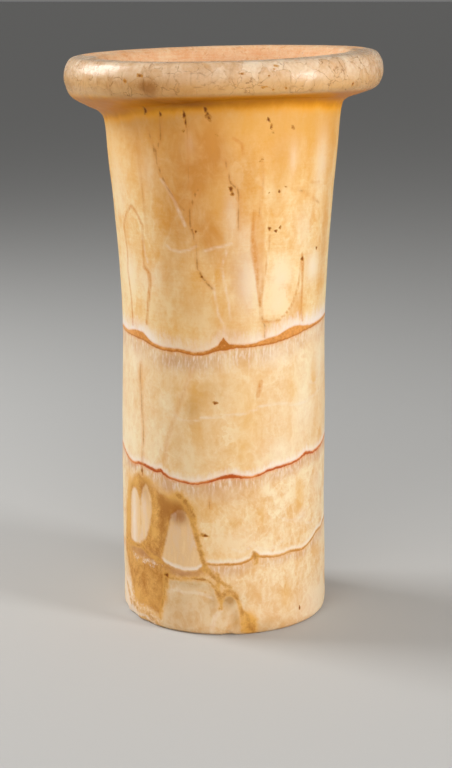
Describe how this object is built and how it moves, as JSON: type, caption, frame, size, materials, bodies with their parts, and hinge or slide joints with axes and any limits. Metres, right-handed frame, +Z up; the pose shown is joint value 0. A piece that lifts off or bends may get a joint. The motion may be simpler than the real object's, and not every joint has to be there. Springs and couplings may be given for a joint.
{
  "type": "alabastron",
  "caption": "Tall hollow stone jar with a gently waisted wall, a flat foot and a thick rolled rim that overhangs the neck.",
  "frame": {"origin": "centre of the flat underside of the foot", "axes": "+Z up along the jar's axis, -Y towards the side that the picture shows, +X to that side's right"},
  "size_m": [0.1182, 0.1182, 0.2159],
  "materials": {
    "alabaster": "banded honey-coloured calcite alabaster, worn to a soft polish outside and rough in the bore"
  },
  "bodies": {
    "root": {"alabastron": "alabaster"}
  },
  "joints": []
}
